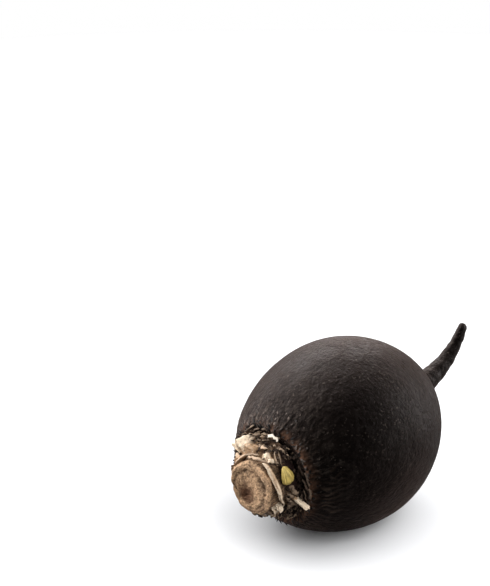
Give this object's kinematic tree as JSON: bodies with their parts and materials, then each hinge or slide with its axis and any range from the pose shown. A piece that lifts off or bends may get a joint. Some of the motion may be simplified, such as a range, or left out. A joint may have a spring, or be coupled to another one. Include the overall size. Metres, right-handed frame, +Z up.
{
  "type": "black radish",
  "caption": "Round black radish lying on its side, with a bent tail, a cut corky crown with leaf-stalk stumps and a small green bud.",
  "frame": {"origin": "middle of the small flat spot that the root rests on", "axes": "+Z up from the resting spot; +X level along the root, from the cut leaf end to the tail end; +Y to its left side"},
  "size_m": [0.142, 0.0826, 0.0829],
  "materials": {
    "black_skin": "satin",
    "cut_crown": "matte",
    "green_bud": "satin"
  },
  "bodies": {
    "root": {"root": "black_skin", "crown": "cut_crown", "green_bud": "green_bud"}
  },
  "joints": []
}
